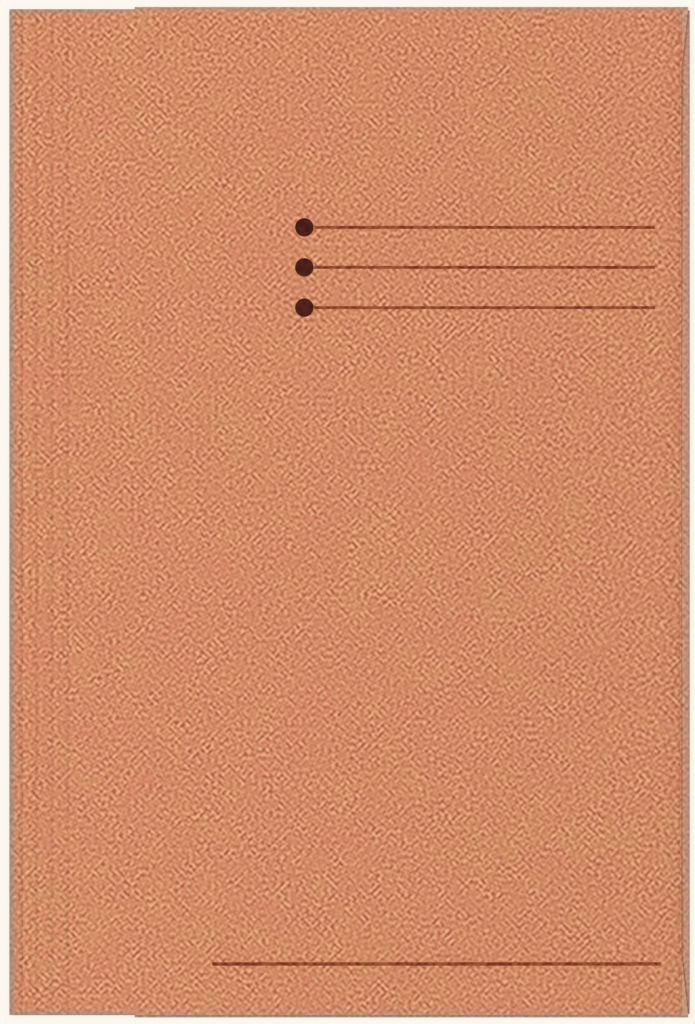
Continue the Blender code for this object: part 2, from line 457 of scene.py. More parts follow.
        surface = add_node(tree, "Math", MULTIPLY_ADD, {0: fibres, 1: self.fibre_share, 2: clumps})
        bump = add_node(tree, "Bump", inputs=self.relief.of(surface.outputs[0]))
        limits = dict(zip(("From Min", "From Max", "To Min", "To Max"), self.fibre_range + self.roughness))
        rough = add_node(tree, "MapRange", inputs={"Value": fibres, **limits})
        parts = {"Roughness": rough.outputs[0], "Normal": bump.outputs[0], "Specular IOR Level": self.gloss}
        return add_node(tree, "BsdfPrincipled", inputs={"Base Color": tint, **parts})


@dataclass(frozen=True)
class TwoTone(Finish):
    """A finish whose colour wanders between two tones, with a relief that follows it."""

    tones: tuple[str, str] = ("000000", "FFFFFF")
    grain: Grain = Grain(1.0)
    flatness: float = 1.0
    change: str = "LINEAR"
    between: Flat = (0.0, 1.0)
    relief: Relief = Relief(0.01, 0.5)
    roughness: float = 0.8
    gloss: float = 0.5

    def shade(self, tree: bpy.types.NodeTree) -> bpy.types.Node:
        """Adds the finish's nodes.

        Args:
            tree: The material's empty tree.

        Returns:
            The shader.
        """
        place = add_node(tree, "TexCoord").outputs["Object"]
        flat = {"Vector": place, "Scale": (1.0, 1.0, self.flatness)}
        squeezed = add_node(tree, "Mapping", inputs=flat).outputs[0]
        noise = add_node(tree, "TexNoise", inputs=self.grain.at(squeezed)).outputs["Fac"]
        limits = dict(zip(("From Min", "From Max"), self.between))
        share = add_node(tree, "MapRange", {"interpolation_type": self.change}, {"Value": noise, **limits})
        under, over = (linear(tone) for tone in self.tones)
        parts = {SHARE: share.outputs[0], UNDER: under, OVER: over}
        colour = add_node(tree, "Mix", COLOUR_MIX, parts).outputs[MIXED]
        bump = add_node(tree, "Bump", inputs=self.relief.of(noise)).outputs[0]
        parts = {"Roughness": self.roughness, "Normal": bump, "Specular IOR Level": self.gloss}
        return add_node(tree, "BsdfPrincipled", inputs={"Base Color": colour, **parts})


@dataclass(frozen=True)
class ShearedEdge(TwoTone):
    """The card's cut edge, as the die leaves it.

    The die tears the last fibres, so the edge is rougher than the face and shows the sheet's thin
    plies, 0.12 mm thick, as faint lines along it.
    """

    name: str = "sheared_card_edge"
    tones: tuple[str, str] = ("A8704F", "C98F6E")
    grain: Grain = Grain(0.5, 2.0)
    flatness: float = 0.5 / 0.12
    between: Flat = (0.35, 0.65)
    relief: Relief = Relief(0.03, 0.7)
    roughness: float = 0.95


@dataclass(frozen=True)
class PrintingInk(TwoTone):
    """Dark brown offset ink on bare card.

    The card soaks it up unevenly, so a solid area is nearly black-brown and faintly mottled, while a
    thin rule breaks up into denser and paler stretches a few millimetres long.
    """

    name: str = "printing_ink"
    tones: tuple[str, str] = ("3C0F0A", "4E1A12")
    grain: Grain = Grain(1.6, 2.0)
    change: str = "SMOOTHSTEP"
    between: Flat = (0.36, 0.64)
    relief: Relief = Relief(0.01, 0.4)
    roughness: float = 0.7
    gloss: float = 0.1


OUTSIDE_CARD = ManilaCard()
FLAP_CARD = ManilaCard(
    name="unfaded_manila_card",
    pulp="D89873",
    rosy_cloud="DE9775",
    ochre_cloud="D49C70",
    dark_clump="B06E4D",
    pale_clump="F0B893",
)
CUT_EDGE = ShearedEdge()
DOT_INK = PrintingInk()
RULE_INK = PrintingInk(
    name="printing_ink_in_a_rule", tones=("792C15", "A05232"), grain=Grain(1.9, 2.0)
)


# ----------------------------------------
# Sheets of card


def new_object(name: str, body: bmesh.types.BMesh, finishes: Sequence[Finish]) -> bpy.types.Object:
    """Turns a bmesh into an object in the scene, and frees it.

    Args:
        name: The name of the object and of its mesh.
        body: The bmesh.
        finishes: Its finishes, in the order of its material slots.

    Returns:
        The object.
    """
    mesh = bpy.data.meshes.new(name)
    body.to_mesh(mesh)
    body.free()
    for finish in finishes:
        mesh.materials.append(finish.build())
    made = bpy.data.objects.new(name, mesh)
    bpy.context.scene.collection.objects.link(made)
    return made


def shade_curved(mesh: bpy.types.Mesh) -> None:
    """Shades a mesh smoothly, apart from its sharp edges."""
    mesh.shade_smooth()
    mesh.set_sharp_from_angle(angle=SMOOTH_BELOW)


def join_rings(body: bmesh.types.BMesh, rings: list[list[bmesh.types.BMVert]]) -> None:
    """Makes a closed body of a row of rings.

    Args:
        body: The bmesh that the rings are in.
        rings: The rings' points, each ring in the same order.
    """
    for ring, after in zip(rings, rings[1:]):
        for index, point in enumerate(ring):
            following = (index + 1) % len(ring)
            body.faces.new([point, ring[following], after[following], after[index]])
    body.faces.new(rings[0][::-1])
    body.faces.new(rings[-1])
    bmesh.ops.recalc_face_normals(body, faces=body.faces)


def rounded(corners: Sequence[tuple[float, float, float]], steps: int) -> list[Flat]:
    """A closed outline whose corners may be round.

    Args:
        corners: Each corner as its two coordinates and its radius, 0 for a sharp one.
        steps: How many straight pieces each arc has.

    Returns:
        The points of the outline, in order.
    """
    outline: list[Flat] = []
    for index, (u, v, radius) in enumerate(corners):
        if radius == 0:
            outline.append((u, v))
            continue
        here = Vector((u, v))
        before = (Vector(corners[index - 1][:2]) - here).normalized()
        after = (Vector(corners[(index + 1) % len(corners)][:2]) - here).normalized()
        half = before.angle(after) / 2
        centre = here + (before + after).normalized() * radius / math.sin(half)
        first = here + before * radius / math.tan(half) - centre
        turn = first.angle_signed(here + after * radius / math.tan(half) - centre)
        start = math.atan2(first.y, first.x)
        for step in range(steps + 1):
            angle = start - turn * step / steps
            outline.append((centre.x + radius * math.cos(angle), centre.y + radius * math.sin(angle)))
    return outline


def spaced(low: float, high: float, pitch: float) -> list[float]:
    """Evenly spaced values strictly between two limits.

    Args:
        low: The lower limit.
        high: The upper limit.
        pitch: The widest spacing that is wanted.

    Returns:
        The values, in order.
    """
    count = max(1, math.ceil((high - low) / pitch))
    return [low + (high - low) * step / count for step in range(1, count)]


def rim_lines(half: float, steps: int = 4) -> list[float]:
    """Lines close to the two ends of a sheet, fine enough to carry the outline's painted edge shadow and
    handling dirt.
    """
    inwards = [EDGE_SHADOW_AND_SOIL_REACH * step / steps for step in range(1, steps + 1)]
    return [side * (half - distance) for side in (-1, 1) for distance in inwards]


def painted_fold_shade(x: float, y: float) -> float:
    """How much painted shade darkens a place on the closed folder.

    Args:
        x: The place across the folder.
        y: The place along the folder.

    Returns:
        A share that is 1 in the middle of a crease, and several times that at the spine's edge.
    """
    from_fold = SIZES.fore_edge - x
    if from_fold < SIZES.cover_setback:
        rim = smooth_share(from_fold - FOLD_RIM, SIZES.side_roll * 2)
    else:
        rim = SPINE_RIM * smooth_share(RIM_REACH - (x - SIZES.spine_edge), RIM_REACH)
        if x < SIZES.end_fold_start:
            rim = max(rim, END_RIM * smooth_share(RIM_REACH - (SIZES.cut_half - abs(y)), RIM_REACH))
    return SIZES.groove(x) / SIZES.crease_depth + rim


def edge_shadow_and_soil(x: float, y: float) -> float:
    """How much the painted edge shadow and handling dirt grey a place on the closed folder.

    Args:
        x: The place across the folder.
        y: The place along the folder.

    Returns:
        A share that is 1 at the folder's outline and 0 a little inside it.
    """
    end = SIZES.end_edge if x > SIZES.end_fold_start - TOLERANCE else SIZES.cut_half
    inside = min(SIZES.width / 2 - abs(x), end - abs(y))
    return smooth_share(EDGE_SHADOW_AND_SOIL_REACH - inside, EDGE_SHADOW_AND_SOIL_REACH)


def inset(pushes: list[tuple[Vector, float]]) -> Vector:
    """Moves a corner of an outline inwards by what the two sides that meet there ask for.

    Args:
        pushes: For each side, its direction inwards and how far that side moves.

    Returns:
        How far the corner moves.
    """
    (first, one), (second, two) = pushes
    cross = first.x * second.y - first.y * second.x
    if abs(cross) < STRAIGHT:
        return first * max(one, two)
    return Vector((one * second.y - two * first.y, first.x * two - second.x * one, 0.0)) / cross


@dataclass(frozen=True)
class Cockle:
    """The slight waviness of a large panel of card, towards the folder's inside or, below 0, away."""

    depth: float = 0.08 * MM
    across: float = 71.0 * MM
    along: float = 97.0 * MM
    slant: Flat = (0.31, 0.23)
    phase: float = 0.6
    second_phase: float = 2.1
    fade: float = 14.0 * MM

    def at(self, x: float, y: float, from_edge: float) -> float:
        """How far the card lifts at a place.

        Args:
            x: The place across the folder.
            y: The place along the folder.
            from_edge: How far it is from the panel's nearest edge, where the card lies flat.

        Returns:
            A distance between 0 and the cockle's depth.
        """
        turn = 2 * math.pi
        u, v = x / self.across, y / self.along
        wave = math.sin(turn * (u + self.slant[0] * v) + self.phase)
        wave += math.sin(turn * (v - self.slant[1] * u) + self.second_phase * self.phase)
        return self.depth * (wave / 4 + 0.5) * smooth_share(from_edge, self.fade)


@dataclass
class CardSheet:
    """A piece of the sheet, laid out flat, given its thickness and then folded into place.

    The first flat coordinate runs across the creases and folds, the second along them. A point's
    depth is counted from the outer face of the card.
    """

    name: str
    outline: list[Flat]
    lay: Lay
    lines_across: list[float]
    lines_along: list[float]
    seam: Callable[[Flat], bool]
    finishes: list[ManilaCard]
    finish_at: Callable[[float], int] = lambda first: 0
    edge_round: float = 0.07 * MM

    def build(self) -> bpy.types.Object:
        """Makes the sheet.

        Returns:
            The mesh object, with its finishes, in the row frame.
        """
        sheet = bmesh.new()
        sheet.faces.new([sheet.verts.new((u, v, 0.0)) for u, v in self.outline])
        for axis, lines in ((0, self.lines_across), (1, self.lines_along)):
            normal = Vector((0.0, 0.0, 0.0))
            normal[axis] = 1.0
            for line in lines:
                bmesh.ops.bisect_plane(
                    sheet,
                    geom=[*sheet.verts, *sheet.edges, *sheet.faces],
                    plane_co=normal * line,
                    plane_no=normal,
                    dist=TOLERANCE / 10,
                )
        self._thicken(sheet)
        outside = [1 - vertex.co.z / SIZES.board for vertex in sheet.verts]
        for vertex in sheet.verts:
            vertex.co = self.lay(*vertex.co)
        bmesh.ops.recalc_face_normals(sheet, faces=sheet.faces)
        made = new_object(self.name, sheet, [*self.finishes, CUT_EDGE])
        places = [(vertex.co.x, vertex.co.y) for vertex in made.data.vertices]
        # Marks for the finish: painted shade in the folds, and painted edge shadow with handling dirt on the
        # outer face
        for mark, shares in (
            (FOLD_SHADE, [painted_fold_shade(x, y) for x, y in places]),
            (EDGE_SHADOW_AND_SOIL, [share * edge_shadow_and_soil(x, y) for share, (x, y) in zip(outside, places)]),
        ):
            made.data.attributes.new(mark, "FLOAT", "POINT").data.foreach_set("value", shares)
        shade_curved(made.data)
        return made

    def _thicken(self, sheet: bmesh.types.BMesh) -> None:
        """Gives the flat outline the card's thickness, with its cut edges slightly rounded.

        Args:
            sheet: The flat mesh, which becomes the outer face.
        """
        outer = list(sheet.faces)
        border = [loop for face in outer for loop in face.loops if len(loop.edge.link_faces) == 1]
        cut = {loop for loop in border if not all(self.seam(tuple(v.co.xy)) for v in loop.edge.verts)}
        pushes: dict[bmesh.types.BMVert, list[tuple[Vector, float]]] = {}
        for loop in border:
            ends = (loop.vert, loop.link_loop_next.vert)
            along = (ends[1].co - ends[0].co).normalized()
            for end in ends:
                push = self.edge_round if loop in cut else 0.0
                pushes.setdefault(end, []).append((Vector((-along.y, along.x, 0.0)), push))
        rings = {}
        for vertex in list(sheet.verts):
            inwards = inset(pushes[vertex]) if vertex in pushes else Vector()
            turns = (0.0, math.pi / 4, math.pi / 2) if inwards.length else (0.0,)
            outline = vertex.co.copy()
            vertex.co += inwards
            rings[vertex] = ring = [vertex]
            for turn in (*turns[1:], *turns[::-1]):
                point = outline + inwards * (1 - math.sin(turn))
                point.z = self.edge_round * (1 - math.cos(turn))
                if len(ring) >= len(turns):
                    point.z = SIZES.board - point.z
                ring.append(sheet.verts.new(point))
        for face in outer:
            middle = sum(v.co.x for v in face.verts) / len(face.verts)
            face.material_index = self.finish_at(middle)
            inner = sheet.faces.new([rings[v][-1] for v in reversed(face.verts)])
            inner.material_index = face.material_index
        for loop in border:
            here, there = rings[loop.vert], rings[loop.link_loop_next.vert]
            if loop not in cut:
                sheet.faces.new([*here, *reversed(there)])
                continue
            for a, b, c, d in zip(here, here[1:], there[1:], there):
                sheet.faces.new([a, b, c, d]).material_index = len(self.finishes)


def build_strip(name: str, lay: Lay, low: float, high: float, lines: list[float]) -> bpy.types.Object:
    """Makes the sheet of one spine strip, which is as long as the covers are cut.

    Args:
        name: The piece's name.
        lay: How a point of it is put in its place.
        low: Where it starts across the creases, at a seam.
        high: Where it stops, at a seam too.
        lines: Where it is divided in between.

    Returns:
        The mesh object.
    """
    half = SIZES.cut_half
    return CardSheet(
        name=name,
        outline=[(low, -half), (high, -half), (high, half), (low, half)],
        lay=lay,
        lines_across=lines,
        lines_along=[*spaced(-half, half, STRIP_GRID), *rim_lines(half)],
        seam=lambda point: same(point[0], low, high),
        finishes=[OUTSIDE_CARD],
    ).build()


# ----------------------------------------
# Sub-assemblies


@dataclass
class Cover:
    """A cover of the folder: the flat panel from its last crease to the fore-edge.

    The back gives way to a flap at each of its three folds. The front is a plain rectangle, cut
    short at the fore-edge.
    """

    face: Face
    body: str
    node: str
    cockle: Cockle
    grid: float = 8.0 * MM
    corner_steps: int = 4
    sag: float = 0.24 * MM
    sag_reach: float = 70.0 * MM
    hollow: float = 0.15 * MM
    worn_edge: float = 0.1 * MM
    worn_reach: float = 1.5 * MM
    worn_steps: int = 6
    crush: float = 0.65

    def __post_init__(self) -> None:
        """Works out the panel's limits."""
        self.start = SIZES.crease_line(SIZES.crease_count) + SIZES.crease_width / 2
        if self.face is Face.BACK:
            self.stop = SIZES.end_fold_stop - FOLD_SEAM
        else:
            self.stop = SIZES.fore_edge - SIZES.cover_setback

    def outline(self) -> list[Flat]:
        """The panel's outline, which on the back draws in where a flap's sheet joins it.

        Returns:
            The points of the outline, in order.
        """
        half = SIZES.cut_half
        if self.face is Face.FRONT:
            upper = [(self.stop, half, SIZES.cut_corner), (self.start, half, 0)]
        else:
            upper = [
                (self.stop, half - FOLD_SEAM, 0),
                (SIZES.end_fold_start, half - FOLD_SEAM, 0),
                (SIZES.end_fold_start, half, 0),
                (self.start, half, 0),
            ]
        lower = [(x, -y, radius) for x, y, radius in reversed(upper)]
        return rounded([*lower, *upper], self.corner_steps)

    def is_seam(self, point: Flat) -> bool:
        """Whether the card goes on beyond a point of the outline.

        Args:
            point: A point of the outline.

        Returns:
            True where another sheet joins the panel there.
        """
        x, y = point
        if self.face is Face.FRONT:
            return same(x, self.start)
        at_end_flap = same(abs(y), SIZES.cut_half - FOLD_SEAM)
        return at_end_flap or same(x, self.start, self.stop, SIZES.end_fold_start)

    def near_free_edge(self, x: float, reach: float) -> float:
        """How near a place is to the front's free edge, from 0 at reach to 1."""
        return smooth_share(reach - (self.stop - x), reach)

    def lift(self, x: float, y: float) -> float:
        """How far a place on the panel lies towards the inside of the folder.

        The panel is slightly wavy. The front's free edge is worn round and sags, further so in the
        hollow between the two end flaps.

        Args:
            x: The place across the folder.
            y: The place along the folder.

        Returns:
            The distance.
        """
        from_edge = min(x - self.start, self.stop - x, SIZES.cut_half - abs(y)) - 2 * FOLD_SEAM
        lift = self.cockle.at(x, y, from_edge)
        if self.face is Face.FRONT:
            between = SIZES.end_edge - SIZES.end_flap_depth - abs(y)
            deep = self.sag + self.hollow * smooth_share(between, self.sag_reach)
            lift += deep * self.near_free_edge(x, self.sag_reach)
            lift += self.worn_edge * self.near_free_edge(x, self.worn_reach)
        return lift

    def lay(self, x: float, y: float, depth: float) -> Vector:
        """Puts a point of the flat panel in its place.

        Args:
            x: The place across the folder.
            y: The place along the folder.
            depth: How deep the point is under the card's outer face.

        Returns:
            Its place in the row frame. The front's free edge is crushed thinner by wear.
        """
        if self.face is Face.FRONT:
            depth += self.crush * self.near_free_edge(x, self.worn_reach) * (SIZES.board - depth)
        return Vector((x, y, self.face.height(depth + self.lift(x, y))))

    def build(self) -> None:
        """Makes the panel and puts it on its body."""
        half = SIZES.cut_half
        across = spaced(self.start, self.stop, self.grid)
        along = [*spaced(-half, half, self.grid), *rim_lines(half)]
        if self.face is Face.FRONT:
            across += spaced(self.stop - self.worn_reach, self.stop, self.worn_reach / self.worn_steps)
        else:
            across.append(SIZES.end_fold_start)
            along += [FOLD_SEAM - half, half - FOLD_SEAM]
        panel = CardSheet(
            name=f"{self.face.value}_cover_card",
            outline=self.outline(),
            lay=self.lay,
            lines_across=across,
            lines_along=along,
            seam=self.is_seam,
            finishes=[OUTSIDE_CARD],
        ).build()
        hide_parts(self.node)
        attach(panel, self.body)
        LOG.info("%s: %d faces on %s", panel.name, len(panel.data.polygons), self.body)


@dataclass
class SpineStrips:
    """Strips 4, 3 and 2 of one cover's spine, each with the crease that it turns about.

    A strip's sheet starts where the crease begins in its neighbour. Strip 2 stops half way across crease 1,
    where strip 1 takes over.
    """

    face: Face
    carrier: str
    groove_steps: int = 10

    def build(self) -> None:
        """Makes the three strips."""
        pitch = SIZES.crease_width / self.groove_steps
        for number in range(SIZES.crease_count, 1, -1):
            body = f"{self.face.value}_strip_{number}"
            high = SIZES.crease_line(number) + SIZES.crease_width / 2
            low = SIZES.crease_line(number - 1) + SIZES.crease_width / 2
            past_crease = high - SIZES.crease_width
            lines = [past_crease, *spaced(past_crease, high, pitch)]
            if number == 2:
                next_groove, low = low, SIZES.crease_line(1) + CREASE_SLIT
                lines += [next_groove, *spaced(low, next_groove, pitch)]
            strip = build_strip(f"{body}_card", self.face.lay, low, high, lines)
            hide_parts(f"{self.face.value}_spine_strip_{number}")
            level = self.face.height(SIZES.board / 2 + SIZES.crease_depth)
            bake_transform(strip)


@dataclass
class SpineFold:
    """Strip 1 of the back, and strip 1 of the front with the rolled fold between them.

    Crease 1 is where the real sheet's closed linkage is opened in the CAD. The two sides of it part
    a little as the spine opens, so a web of card behind the crease covers the slit.
    """

    flat_before_roll: float = 0.4 * MM
    roll_steps: int = 16
    groove_pitch: float = 0.15 * MM
    web_thickness: float = 0.1 * MM
    web_gap: float = 0.03 * MM
    web_reach: float = 0.95 * MM
    web_steps: int = 8
    web_blunt: float = 0.6

    def __post_init__(self) -> None:
        """Works out where the fold starts and how long its roll is."""
        self.roll_middle = SIZES.spine_edge + SIZES.spine_roll
        self.seam_x = self.roll_middle + self.flat_before_roll
        self.middle_radius = SIZES.spine_roll - SIZES.board / 2
        self.roll_length = math.pi * self.middle_radius
        self.edge_x = SIZES.crease_line(1) - CREASE_SLIT

    def lay_front(self, s: float, y: float, depth: float) -> Vector:
        """Rolls a point of the front's strip 1 round the fold.

        Args:
            s: How far the point is along the sheet from where the fold starts on the back.
            y: The place along the folder.
            depth: How deep it is under the card's outer face.

        Returns:
            Its place in the row frame.
        """
        rolled = s - self.flat_before_roll
        if rolled <= 0:
            return Vector((self.seam_x - s, y, depth))
        if rolled < self.roll_length:
            angle = rolled / self.middle_radius
            radius = SIZES.spine_roll - depth
            x = self.roll_middle - radius * math.sin(angle)
            return Vector((x, y, SIZES.spine_roll - radius * math.cos(angle)))
        return Face.FRONT.lay(self.roll_middle + rolled - self.roll_length, y, depth)

    def web(self, face: Face, made: bpy.types.Object) -> None:
        """Adds the web of card behind crease 1 to a strip's mesh.

        Args:
            face: The cover that the strip belongs to.
            made: The strip.
        """
        line, half = SIZES.crease_line(1), SIZES.cut_half
        body = bmesh.new()
        body.from_mesh(made.data)
        rings = []
        for step in range(self.web_steps + 1):
            x = line + self.web_reach * (2 * step / self.web_steps - 1)
            inner = SIZES.board + SIZES.groove(x)
            near = inner + (self.web_gap if x > line - CREASE_SLIT else -self.web_gap)
            taper = math.sin(math.pi * (step + self.web_blunt) / (self.web_steps + 2 * self.web_blunt))
            far = inner + self.web_gap + self.web_thickness * taper
            corners = ((-half, near), (half, near), (half, far), (-half, far))
            rings.append([body.verts.new((x, y, face.height(depth))) for y, depth in corners])
        join_rings(body, rings)
        body.to_mesh(made.data)
        body.free()
        shade_curved(made.data)

    def build(self) -> None:
        """Makes the two strips."""
        groove_start = SIZES.crease_line(1) - SIZES.crease_width / 2
        groove = [groove_start, *spaced(groove_start, self.edge_x, self.groove_pitch)]
        back = build_strip("back_strip_1_card", Face.BACK.lay, self.seam_x, self.edge_x, groove)
        self.web(Face.BACK, back)
        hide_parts("back_spine_strip_1")
        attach(back, "back_strip_1")

        after_roll = self.flat_before_roll + self.roll_length
        length = after_roll + self.edge_x - self.roll_middle
        turns = [self.roll_length * step / self.roll_steps for step in range(self.roll_steps + 1)]
        lines = [self.flat_before_roll + turn for turn in turns]
        lines += [after_roll + x - self.roll_middle for x in groove]
        front = build_strip("front_strip_1_card", self.lay_front, 0.0, length, lines)
        self.web(Face.FRONT, front)
        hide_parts("front_spine_strip_1")
        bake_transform(front)
        for made in (back, front):
            LOG.info("%s: %d faces", made.name, len(made.data.polygons))


@dataclass
class Flap:
    """A flap of the back, with the rolled fold that joins it. Its node has its name.

    Its sheet starts just inside the back's edge, goes round the fold, and lies over the back with
    its sides drawn in towards its free edge. Light score lines near the fold let it fold further out
    over a thicker stack of papers. Where it has room, the card springs up a little past the fold.
    """

    name: str
    lengthways: bool
    sign: int
    edge: float
    roll: float
    fold: Flat
    free_side: Flat
    depth: float
    shoulder: Flat | None
    cockle: Cockle
    spring: float = 0.0
    spring_between: float = 0.0
    spring_reach: float = 2.4 * MM
    spring_pitch: float = 0.6 * MM
    spring_ends: float = 34.0 * MM
    spring_fade: float = 20.0 * MM
    roll_steps: int = 14
    corner_steps: int = 10
    grid: float = 8.0 * MM
    flat_past_fold: float = 15.0 * MM
    score_lines: Flat = (5.0 * MM, 10.0 * MM)
    score_width: float = 1.2 * MM
    score_depth: float = 0.08 * MM
    score_steps: int = 6

    def __post_init__(self) -> None:
        """Works out where the fold's roll stops along the sheet."""
        self.flat_stop = self.edge - self.roll
        self.middle_radius = self.roll - SIZES.board / 2
        self.roll_length = math.pi * self.middle_radius
        self.after_roll = FOLD_SEAM + self.roll_length
        self.length = self.after_roll + self.flat_stop - (self.edge - self.depth)

    def score(self, past_fold: float) -> float:
        """How deep the card sinks into a score line, at a distance from the fold."""
        return self.score_depth * max(dip(past_fold - line, self.score_width) for line in self.score_lines)

    def spring_at(self, t: float) -> float:
        """How high the card springs up past its fold, which is more between the flaps over its ends."""
        clear = self.fold[1] - self.spring_ends - abs(t)
        return self.spring + self.spring_between * smooth_share(clear, self.spring_fade)

    def lay(self, s: float, t: float, depth: float) -> Vector:
        """Folds a point of the flat flap into its place.

        Args:
            s: How far the point is along the sheet from the seam in the back.
            t: The place along the fold.
            depth: How deep it is under the card's outer face.

        Returns:
            Its place in the row frame.
        """
        rolled = s - FOLD_SEAM
        if rolled <= 0:
            out, height = self.flat_stop + rolled, depth
        elif rolled < self.roll_length:
            angle = rolled / self.middle_radius
            radius = self.roll - depth
            out = self.flat_stop + radius * math.sin(angle)
            height = self.roll - radius * math.cos(angle)
        else:
            past = rolled - self.roll_length
            out = self.flat_stop - past
            from_edge = min(past - self.flat_past_fold, self.length - s, t - self.fold[0], self.fold[1] - t)
            height = 2 * self.roll - depth - self.score(past) - self.cockle.at(out, t, from_edge)
            height += self.spring_at(t) * past / self.spring_reach * math.exp(1 - past / self.spring_reach)
        return Vector((t, self.sign * out, height) if self.lengthways else (self.sign * out, t, height))

    def outline(self) -> list[Flat]:
        """The flap's flat outline, from its seam in the back to its free edge.

        Returns:
            The points of the outline, in order.
        """
        low, high = self.fold
        start = [(0.0, low, 0), (self.after_roll, low, 0)]
        stop = [(self.after_roll, high, 0), (0.0, high, 0)]
        if self.shoulder:
            out, inwards = self.shoulder
            start.append((self.after_roll + out - self.roll, low + inwards, 0))
            stop.insert(0, (self.after_roll + out - self.roll, high - inwards, 0))
        free = [(self.length, side, SIZES.flap_corner) for side in self.free_side]
        return rounded([*start, *free, *stop], self.corner_steps)

    def lines_across(self) -> list[float]:
        """Where the flap's sheet is divided across the fold.

        Returns:
            Lines close together in the fold, past it where it springs up, and at the scores.
        """
        turns = [self.roll_length * step / self.roll_steps for step in range(self.roll_steps + 1)]
        lines = [FOLD_SEAM + turn for turn in turns]
        if self.spring:
            lines += spaced(self.after_roll, self.after_roll + 2 * self.spring_reach, self.spring_pitch)
        for line in self.score_lines:
            for step in range(self.score_steps + 1):
                lines.append(self.after_roll + line + self.score_width * (step / self.score_steps - 0.5))
        last_score = self.after_roll + max(self.score_lines) + self.score_width
        return lines + spaced(last_score, self.length, self.grid)

    def build(self) -> None:
        """Makes the flap."""
        low, high = self.fold
        flap = CardSheet(
            name=f"{self.name}_card",
            outline=self.outline(),
            lay=self.lay,
            lines_across=self.lines_across(),
            lines_along=spaced(low, high, self.grid),
            seam=lambda point: point[0] < FOLD_SEAM + TOLERANCE,
            finishes=[OUTSIDE_CARD, FLAP_CARD],
            finish_at=lambda s: int(s > self.after_roll),
        ).build()
        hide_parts(self.name)
        middle = self.lay(0.0, (low + high) / 2, 0.0)
        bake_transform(flap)
        LOG.info("%s: %d faces, folds with %s", flap.name, len(flap.data.polygons), self.name)


@dataclass
class PrintedRules:
    """What is printed on the front: three ruled lines with a dot before each, and one line below.

    The ink is a thin closed layer that lies on the cover and follows its surface.
    """

    cover: Cover
    dot_centre_x: float = -15.6 * MM
    dot_diameter: float = 6.4 * MM
    line_heights: tuple[float, ...] = (98.3 * MM, 84.5 * MM, 70.6 * MM)
    line_weights: tuple[float, ...] = (1.08 * MM, 1.05 * MM, 1.02 * MM)
    line_start: float = -12.2 * MM
    line_stop: float = 105.4 * MM
    base_height: float = -155.9 * MM
    base_start: float = -47.4 * MM
    base_stop: float = 107.5 * MM
    base_weight: float = 1.22 * MM
    ink_above: float = 0.012 * MM
    ink_below: float = 0.05 * MM
    pitch: float = 4.0 * MM
    dot_rings: int = 32

    def layer(self, name: str, rings: list[list[Flat]], ink: PrintingInk) -> None:
        """Makes a closed layer of ink between rings of points.

        Args:
            name: The piece's name.
            rings: Pairs of points across the layer, in order along it, each from its lower side to
                its upper side.
            ink: Its finish.
        """
        body = bmesh.new()
        rows = []
        for ring in rings:
            level = [self.cover.lay(x, y, 0.0) for x, y in ring]
            above = [body.verts.new(point + Vector((0, 0, self.ink_above))) for point in level]
            below = [body.verts.new(point - Vector((0, 0, self.ink_below))) for point in level]
            rows.append([*above, *below[::-1]])
        join_rings(body, rows)
        made = new_object(name, body, [ink])
        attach(made, self.cover.body)
        LOG.info("%s: %d faces", name, len(made.data.polygons))

    def rule(self, name: str, start: float, stop: float, y: float, weight: float) -> None:
        """Prints one ruled line.

        Args:
            name: The piece's name.
            start: Where it starts across the cover.
            stop: Where it stops.
            y: Its height on the cover.
            weight: How thick the line is.
        """
        places = [start, *spaced(start, stop, self.pitch), stop]
        self.layer(name, [[(x, y - weight / 2), (x, y + weight / 2)] for x in places], RULE_INK)

    def dot(self, name: str, y: float) -> None:
        """Prints one dot.

        Args:
            name: The piece's name.
            y: Its height on the cover.
        """
        radius = self.dot_diameter / 2
        rings = []
        for step in range(1, self.dot_rings):
            angle = math.pi * step / self.dot_rings
            x = self.dot_centre_x - radius * math.cos(angle)
            reach = radius * math.sin(angle)
            rings.append([(x, y - reach), (x, y + reach)])
        self.layer(name, rings, DOT_INK)

    def build(self) -> None:
        """Prints every line and dot."""
        for number, (y, weight) in enumerate(zip(self.line_heights, self.line_weights), 1):
            self.dot(f"printed_dot_{number}", y)
            self.rule(f"printed_rule_{number}", self.line_start, self.line_stop, y, weight)
        self.rule("printed_base_rule", self.base_start, self.base_stop, self.base_height, self.base_weight)


# ----------------------------------------
# Studio


def seen_directly(tree: bpy.types.NodeTree) -> bpy.types.NodeSocket:
    """Whether a ray comes from the camera, a mirror or glass.

    Args:
        tree: The node tree that asks.

    Returns:
        The socket that is 1 for such a ray.
    """
    rays = add_node(tree, "LightPath")
    seen = rays.outputs["Is Camera Ray"]
    for kind in ("Is Glossy Ray", "Is Transmission Ray"):
        seen = add_node(tree, "Math", {"operation": "MAXIMUM"}, {0: seen, 1: rays.outputs[kind]}).outputs[0]
    return seen


